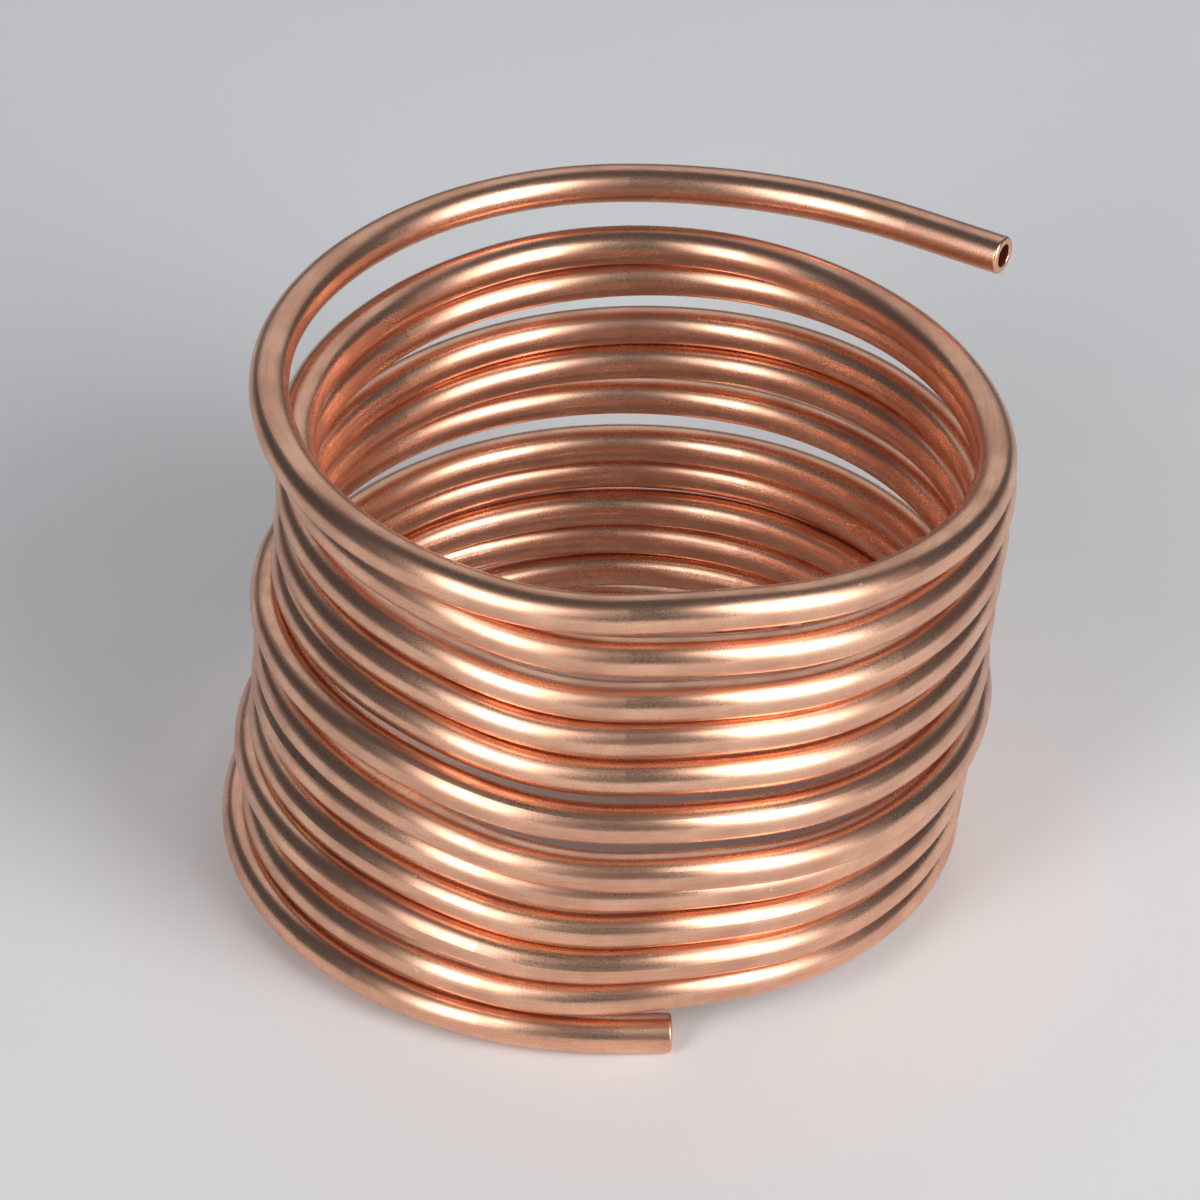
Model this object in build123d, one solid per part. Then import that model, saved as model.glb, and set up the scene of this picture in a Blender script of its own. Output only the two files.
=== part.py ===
from build123d import *
from math import atan2, cos, degrees, pi, radians, sin, sqrt
import os

# Capillary tube: one length of bare copper tube, wound by hand into a single-layer coil that
# stands on its bottom turn. The turns mostly touch. Both ends are free and cut square, the
# lower one at the front and the upper one reaching to the right over the coil.
# Millimetres, +Z up, the coil's front towards -Y.

# Tube section
TUBE_OD = 3.175
TUBE_ID = 1.905
END_EDGE_RADIUS = 0.25
BORE_EDGE_RADIUS = 0.12

# Winding, by turns counted up from the lower end: 0 is the front of the bottom turn
COIL_RADIUS = 27.7
WIDER_THAN_DEEP = 0.3
TURNS = 11.5
TOUCHING_GAP = 0.06
LEAN_RIGHT_PER_TURN = 0.3
LEAN_FORWARD_PER_TURN = 0.18

# Places where a turn stands off the turn over it: where, over how many turns the opening fades
# out to each side, and how wide it gets
OPENINGS = [
    (-0.05, 0.4, 0.85),
    (0.52, 0.28, 1.8),
    (1.22, 0.32, 2.1),
    (3.15, 0.45, 0.6),
    (5.25, 1.2, 1.9),
    (6.65, 0.55, 0.9),
    (8.55, 0.65, 1.6),
    (9.15, 0.42, 1.95),
    (9.93, 0.2, 1.1),
    (10.42, 0.32, 1.1),
]

# Places where a turn is wound wider or tighter: where, fade to each side, change of radius
RADIUS_CHANGES = [
    (0.4, 0.4, 2.0),
    (2.2, 0.45, 0.9),
    (4.55, 0.3, 1.3),
    (4.95, 0.35, 1.2),
    (6.05, 0.35, 1.4),
    (7.3, 0.45, -0.85),
    (8.15, 0.35, -0.9),
    (9.1, 0.35, -1.0),
    (10.33, 0.2, -0.8),
    (10.65, 0.19, -1.4),
    (11.12, 0.13, 0.4),
]

# The last half turn springs out of the coil towards the back
SPRING_OUT_AT = 11.44
SPRING_OUT_FADE = 0.48
SPRING_OUT = 3.0

# Free ends
LOWER_STRAIGHT = 4.2
UPPER_BEND_RADIUS = 42.0
UPPER_BEND_ANGLE = 33.0
UPPER_STRAIGHT = 8.4

# The centreline is laid out in spans of two tangent arcs
SPANS_PER_TURN = 8


def bump(turn, centre, fade):
    """Smooth hill of height 1 at centre that is gone at a distance of fade."""
    distance = abs(turn - centre) / fade
    return (1 + cos(pi * distance)) / 2 if distance < 1 else 0.0


def gap_above(turn):
    """Clear distance between this point of the tube and the turn over it."""
    return TOUCHING_GAP + sum(width * bump(turn, at, fade) for at, fade, width in OPENINGS)


def heading(turn):
    """Direction from the coil's axis, in radians: the front first, then round by the left."""
    return -pi / 2 - 2 * pi * turn


def wound_radius(turn):
    """Distance from the coil's axis, with the lean of the winding and its uneven places."""
    above_middle = turn - TURNS / 2
    lean_right = LEAN_RIGHT_PER_TURN * above_middle * cos(heading(turn))
    lean_forward = -LEAN_FORWARD_PER_TURN * above_middle * sin(heading(turn))
    oval = WIDER_THAN_DEEP / 2 * cos(2 * heading(turn))
    uneven = sum(change * bump(turn, at, fade) for at, fade, change in RADIUS_CHANGES)
    return COIL_RADIUS + lean_right + lean_forward + oval + uneven


def radius_at(turn):
    return wound_radius(turn) + SPRING_OUT * bump(turn, SPRING_OUT_AT, SPRING_OUT_FADE)


def height_at(turn):
    """Height over the floor, stepping up from the first turn by the spacing of the turns."""
    if turn < 1:
        return TUBE_OD / 2 + (TUBE_OD + gap_above(0)) * turn
    step = TUBE_OD + gap_above(turn - 1)
    return height_at(turn - 1) + sqrt(step**2 - (wound_radius(turn) - wound_radius(turn - 1)) ** 2)


def point_at(turn):
    return Vector(
        radius_at(turn) * cos(heading(turn)), radius_at(turn) * sin(heading(turn)), height_at(turn)
    )


def direction_at(turn, nudge=1e-4):
    return (point_at(turn + nudge) - point_at(turn - nudge)).normalized()


def two_arcs(start, start_way, end, end_way):
    """The pair of tangent arcs between two points that leaves and arrives the given ways."""
    chord = end - start
    ways = start_way + end_way
    spread = 2 * (1 - start_way.dot(end_way))
    along = chord.dot(ways)
    reach = (sqrt(along**2 + spread * chord.dot(chord)) - along) / spread
    middle = (start + end + (start_way - end_way) * reach) * 0.5
    middle_way = (end - start - ways * reach).normalized()
    return [
        TangentArc(start, middle, tangent=start_way),
        TangentArc(middle, end, tangent=middle_way),
    ]


def centreline():
    """Lower straight end, the wound turns, then the upper end's easing bend and straight."""
    count = round(TURNS * SPANS_PER_TURN)
    stations = [TURNS * index / count for index in range(count + 1)]
    points = [point_at(turn) for turn in stations]
    ways = [direction_at(turn) for turn in stations]
    edges = [Line(points[0] - ways[0] * LOWER_STRAIGHT, points[0])]
    for index in range(count):
        edges += two_arcs(points[index], ways[index], points[index + 1], ways[index + 1])

    inward = Vector(ways[-1].Y, -ways[-1].X, 0).normalized()
    bend = radians(UPPER_BEND_ANGLE)
    bend_end = (
        points[-1]
        + ways[-1] * (UPPER_BEND_RADIUS * sin(bend))
        + inward * (UPPER_BEND_RADIUS * (1 - cos(bend)))
    )
    bend_way = ways[-1] * cos(bend) + inward * sin(bend)
    edges.append(TangentArc(points[-1], bend_end, tangent=ways[-1]))
    edges.append(Line(bend_end, bend_end + bend_way * UPPER_STRAIGHT))
    return Wire(edges)


def rest_tilt():
    """Turns that bring the lower end and the back of the bottom turn onto the floor together."""
    front, back = point_at(0), point_at(0.5)
    along_back = direction_at(0.5)
    backwards = degrees(atan2(back.Z - front.Z, back.Y - front.Y))
    sideways = degrees(atan2(along_back.Z, along_back.X))
    return Rot(-backwards, 0, 0) * Rot(0, sideways, 0)


def mouths(solid):
    """The flat ring at each end of the tube."""
    return solid.faces().filter_by(GeomType.PLANE)


def tube():
    path = centreline()
    start = Plane(origin=path @ 0, z_dir=path % 0)
    ring = start * (Circle(TUBE_OD / 2) - Circle(TUBE_ID / 2))
    solid = sweep(ring, path=path)
    solid = fillet([mouth.outer_wire().edge() for mouth in mouths(solid)], END_EDGE_RADIUS)
    solid = fillet([mouth.inner_wires()[0].edge() for mouth in mouths(solid)], BORE_EDGE_RADIUS)
    solid = rest_tilt() * solid
    box = solid.bounding_box()
    return Pos(-box.center().X, -box.center().Y, -box.min.Z) * solid


os.makedirs("parts", exist_ok=True)
capillary_tube = tube()
export_step(capillary_tube, "parts/capillary_tube.step")
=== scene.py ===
import bpy
from math import cos, pi, radians, sin, tan
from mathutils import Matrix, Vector

# Coiled copper capillary tube on a pale studio floor. Metres, +Z up, the camera in front at -Y.

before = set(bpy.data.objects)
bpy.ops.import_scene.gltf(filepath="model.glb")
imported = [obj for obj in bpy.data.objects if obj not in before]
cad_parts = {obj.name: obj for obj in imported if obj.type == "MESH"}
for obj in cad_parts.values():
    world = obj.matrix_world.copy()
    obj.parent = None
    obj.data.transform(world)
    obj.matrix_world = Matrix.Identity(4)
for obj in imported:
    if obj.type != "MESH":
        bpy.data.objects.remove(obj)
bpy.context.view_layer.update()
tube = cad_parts["capillary_tube"]

MM = 0.001

# Camera, matched to the photograph
CAMERA_AZIMUTH = 0.0
CAMERA_ELEVATION = 37.1
CAMERA_DISTANCE = 477 * MM
CAMERA_LENS = 179.0
CAMERA_TARGET = Vector((-1.13, -1.6, 24.6)) * MM

# Studio
WORLD_COLOR = (0.06, 0.072, 0.09, 1.0)
FLOOR_SIZE = 6.0
FLOOR_COLOR = (0.9, 0.9, 0.9, 1.0)
FLOOR_ROUGHNESS = 0.9
FLOOR_SHINE = 0.0

# Softboxes: name, direction round from the front towards the right, elevation, half angles
# across and up, brightness as seen from the coil
SOFTBOX_DISTANCE = 0.7
SOFTBOXES = [
    ("softbox_right", 48.0, 28.0, 20.0, 28.0, 1.7),
    ("softbox_right_core", 48.0, 27.0, 13.0, 22.0, 4.0),
    ("softbox_left", -37.0, 27.0, 13.0, 28.0, 1.5),
    ("softbox_left_core", -37.0, 26.0, 8.0, 20.0, 3.8),
    ("softbox_back", 180.0, 40.0, 40.0, 22.0, 0.55),
]

# Copper, from the brightest to the dullest places
COPPER_COLOR = (0.93, 0.535, 0.36, 1.0)
TARNISH_COLOR = (0.68, 0.355, 0.24, 1.0)
SPECK_COLOR = (0.95, 0.72, 0.60, 1.0)
METALLIC = 1.0
ROUGHNESS_BRIGHT = 0.23
ROUGHNESS_DULL = 0.36
ANISOTROPY = 0.2
QUARTER_TURN = 0.25

# Lines along the turns, left from drawing the tube
DRAW_LINE_WIDTH = 0.12 * MM
DRAW_LINE_LENGTH = 12 * MM
DRAW_LINE_DRIFT = 10 * DRAW_LINE_WIDTH
DRAW_LINE_DETAIL = 3.0
STEADY = 0.0

# Fine grain, and the relief that it makes together with the lines
GRAIN_SIZE = 0.15 * MM
GRAIN_DETAIL = 2.0
RELIEF_DEPTH = 0.002 * MM
RELIEF_STRENGTH = 1.0

# Smudges: how strong the noise has to be for tarnish to start and to be full, how far it then
# hides the copper, and how much of it lies between the lines
SMUDGE_SIZE = 5 * MM
SMUDGE_DETAIL = 4.0
TARNISH_FROM = 0.35
TARNISH_FULL = 0.65
TARNISH_COVER = 0.8
TARNISH_BETWEEN_LINES = 0.5

# Dull places, and the share of the dullness that comes from lines and grain
DULL_FROM = 0.35
DULL_FULL = 0.65
DULL_FROM_STREAKS = 0.6

# Small pale specks: the radius is a share of their spacing, and the core a share of the radius
SPECK_SPACING = 3.0 * MM
SPECK_RADIUS = 0.045
SPECK_CORE = 0.6


def look_from(target, azimuth, elevation, distance):
    """Point seen from target in that direction, azimuth 0 towards -Y and growing to +X."""
    flat = cos(radians(elevation))
    way = Vector((flat * sin(radians(azimuth)), -flat * cos(radians(azimuth)), sin(radians(elevation))))
    return target + way * distance


def aim(obj, target):
    obj.rotation_euler = (target - obj.location).to_track_quat("-Z", "Y").to_euler()


def add_camera():
    data = bpy.data.cameras.new("camera")
    data.lens = CAMERA_LENS
    camera = bpy.data.objects.new("camera", data)
    bpy.context.scene.collection.objects.link(camera)
    camera.location = look_from(CAMERA_TARGET, CAMERA_AZIMUTH, CAMERA_ELEVATION, CAMERA_DISTANCE)
    aim(camera, CAMERA_TARGET)
    bpy.context.scene.camera = camera


def add_softbox(name, azimuth, elevation, half_across, half_up, brightness):
    data = bpy.data.lights.new(name, "AREA")
    data.shape = "RECTANGLE"
    data.size = 2 * SOFTBOX_DISTANCE * tan(radians(half_across))
    data.size_y = 2 * SOFTBOX_DISTANCE * tan(radians(half_up))
    data.energy = brightness * pi * data.size * data.size_y
    light = bpy.data.objects.new(name, data)
    bpy.context.scene.collection.objects.link(light)
    light.location = look_from(CAMERA_TARGET, azimuth, elevation, SOFTBOX_DISTANCE)
    aim(light, CAMERA_TARGET)


def add_world():
    world = bpy.data.worlds.new("studio")
    world.use_nodes = True
    world.node_tree.nodes["Background"].inputs["Color"].default_value = WORLD_COLOR
    bpy.context.scene.world = world


def add_floor():
    bpy.ops.mesh.primitive_plane_add(size=FLOOR_SIZE, location=(0, 0, 0))
    floor = bpy.context.object
    floor.name = "floor"
    material = bpy.data.materials.new("floor")
    material.use_nodes = True
    shader = material.node_tree.nodes["Principled BSDF"]
    shader.inputs["Base Color"].default_value = FLOOR_COLOR
    shader.inputs["Roughness"].default_value = FLOOR_ROUGHNESS
    shader.inputs["Specular IOR Level"].default_value = FLOOR_SHINE
    floor.data.materials.append(material)


def feed(tree, value, socket):
    """Link value to the socket, or set it there where it is a plain number or colour."""
    if isinstance(value, bpy.types.NodeSocket):
        tree.links.new(value, socket)
    else:
        socket.default_value = value


def math_node(tree, operation, first, second):
    node = tree.nodes.new("ShaderNodeMath")
    node.operation = operation
    for socket, value in zip(node.inputs, (first, second)):
        feed(tree, value, socket)
    return node.outputs[0]


def noise(tree, vector, size, detail):
    """Noise from 0 to 1 whose lumps are about this size, in metres."""
    node = tree.nodes.new("ShaderNodeTexNoise")
    node.inputs["Scale"].default_value = 1 / size
    node.inputs["Detail"].default_value = detail
    tree.links.new(vector, node.inputs["Vector"])
    return node.outputs["Fac"]


def spread(tree, value, low, high, to_low, to_high):
    """Map low..high onto to_low..to_high and hold the ends."""
    node = tree.nodes.new("ShaderNodeMapRange")
    tree.links.new(value, node.inputs["Value"])
    for name, number in (("From Min", low), ("From Max", high), ("To Min", to_low), ("To Max", to_high)):
        node.inputs[name].default_value = number
    return node.outputs["Result"]


def mix_color(tree, factor, first, second):
    node = tree.nodes.new("ShaderNodeMix")
    node.data_type = "RGBA"
    for name, value in (("Factor", factor), ("A", first), ("B", second)):
        feed(tree, value, node.inputs[name])
    return node.outputs["Result"]


def along_the_turns(tree, place):
    """Coordinates that hardly change along a turn: distance from the axis, height, slow drift."""
    split = tree.nodes.new("ShaderNodeSeparateXYZ")
    tree.links.new(place, split.inputs[0])
    flat = tree.nodes.new("ShaderNodeCombineXYZ")
    tree.links.new(split.outputs["X"], flat.inputs["X"])
    tree.links.new(split.outputs["Y"], flat.inputs["Y"])
    reach = tree.nodes.new("ShaderNodeVectorMath")
    reach.operation = "LENGTH"
    tree.links.new(flat.outputs[0], reach.inputs[0])
    wander = noise(tree, place, DRAW_LINE_LENGTH, STEADY)
    drift = math_node(tree, "MULTIPLY", wander, DRAW_LINE_DRIFT)
    joined = tree.nodes.new("ShaderNodeCombineXYZ")
    tree.links.new(reach.outputs["Value"], joined.inputs["X"])
    tree.links.new(split.outputs["Z"], joined.inputs["Y"])
    tree.links.new(drift, joined.inputs["Z"])
    return joined.outputs[0]


def pale_specks(tree, place):
    cells = tree.nodes.new("ShaderNodeTexVoronoi")
    cells.inputs["Scale"].default_value = 1 / SPECK_SPACING
    tree.links.new(place, cells.inputs["Vector"])
    return spread(tree, cells.outputs["Distance"], SPECK_RADIUS * SPECK_CORE, SPECK_RADIUS, 1.0, 0.0)


def copper_color(tree, lines, smudges, specks):
    lined = math_node(tree, "ADD", lines, TARNISH_BETWEEN_LINES)
    tarnish = spread(tree, math_node(tree, "MULTIPLY", smudges, lined),
                     TARNISH_FROM, TARNISH_FULL, 0.0, TARNISH_COVER)
    color = mix_color(tree, tarnish, COPPER_COLOR, TARNISH_COLOR)
    return mix_color(tree, specks, color, SPECK_COLOR)


def copper_roughness(tree, lines_and_grain, smudges, specks):
    average = math_node(tree, "DIVIDE", lines_and_grain, 2.0)
    streaks = spread(tree, average, DULL_FROM, DULL_FULL, 0.0, DULL_FROM_STREAKS)
    patches = spread(tree, smudges, DULL_FROM, DULL_FULL, 0.0, 1 - DULL_FROM_STREAKS)
    dullness = math_node(tree, "ADD", streaks, patches)
    dullness = math_node(tree, "MAXIMUM", dullness, specks)
    return spread(tree, dullness, 0.0, 1.0, ROUGHNESS_BRIGHT, ROUGHNESS_DULL)


def add_relief(tree, height, shader):
    relief = tree.nodes.new("ShaderNodeBump")
    relief.inputs["Strength"].default_value = RELIEF_STRENGTH
    relief.inputs["Distance"].default_value = RELIEF_DEPTH
    tree.links.new(height, relief.inputs["Height"])
    tree.links.new(relief.outputs["Normal"], shader.inputs["Normal"])


def stretch_highlights(tree, shader):
    """Brushed look across the turns, by the direction round the coil's axis."""
    around = tree.nodes.new("ShaderNodeTangent")
    around.direction_type = "RADIAL"
    around.axis = "Z"
    tree.links.new(around.outputs["Tangent"], shader.inputs["Tangent"])
    shader.inputs["Anisotropic"].default_value = ANISOTROPY
    shader.inputs["Anisotropic Rotation"].default_value = QUARTER_TURN


def copper():
    material = bpy.data.materials.new("copper")
    material.use_nodes = True
    tree = material.node_tree
    shader = tree.nodes["Principled BSDF"]
    shader.inputs["Metallic"].default_value = METALLIC
    place = tree.nodes.new("ShaderNodeTexCoord").outputs["Object"]

    lines = noise(tree, along_the_turns(tree, place), DRAW_LINE_WIDTH, DRAW_LINE_DETAIL)
    grain = noise(tree, place, GRAIN_SIZE, GRAIN_DETAIL)
    smudges = noise(tree, place, SMUDGE_SIZE, SMUDGE_DETAIL)
    specks = pale_specks(tree, place)
    lines_and_grain = math_node(tree, "ADD", lines, grain)

    color = copper_color(tree, lines, smudges, specks)
    tree.links.new(color, shader.inputs["Base Color"])
    roughness = copper_roughness(tree, lines_and_grain, smudges, specks)
    tree.links.new(roughness, shader.inputs["Roughness"])
    add_relief(tree, math_node(tree, "SUBTRACT", lines_and_grain, specks), shader)
    stretch_highlights(tree, shader)
    return material


tube.data.materials[0] = copper()
add_camera()
for softbox in SOFTBOXES:
    add_softbox(*softbox)
add_world()
add_floor()
bpy.context.scene.view_settings.view_transform = "Standard"
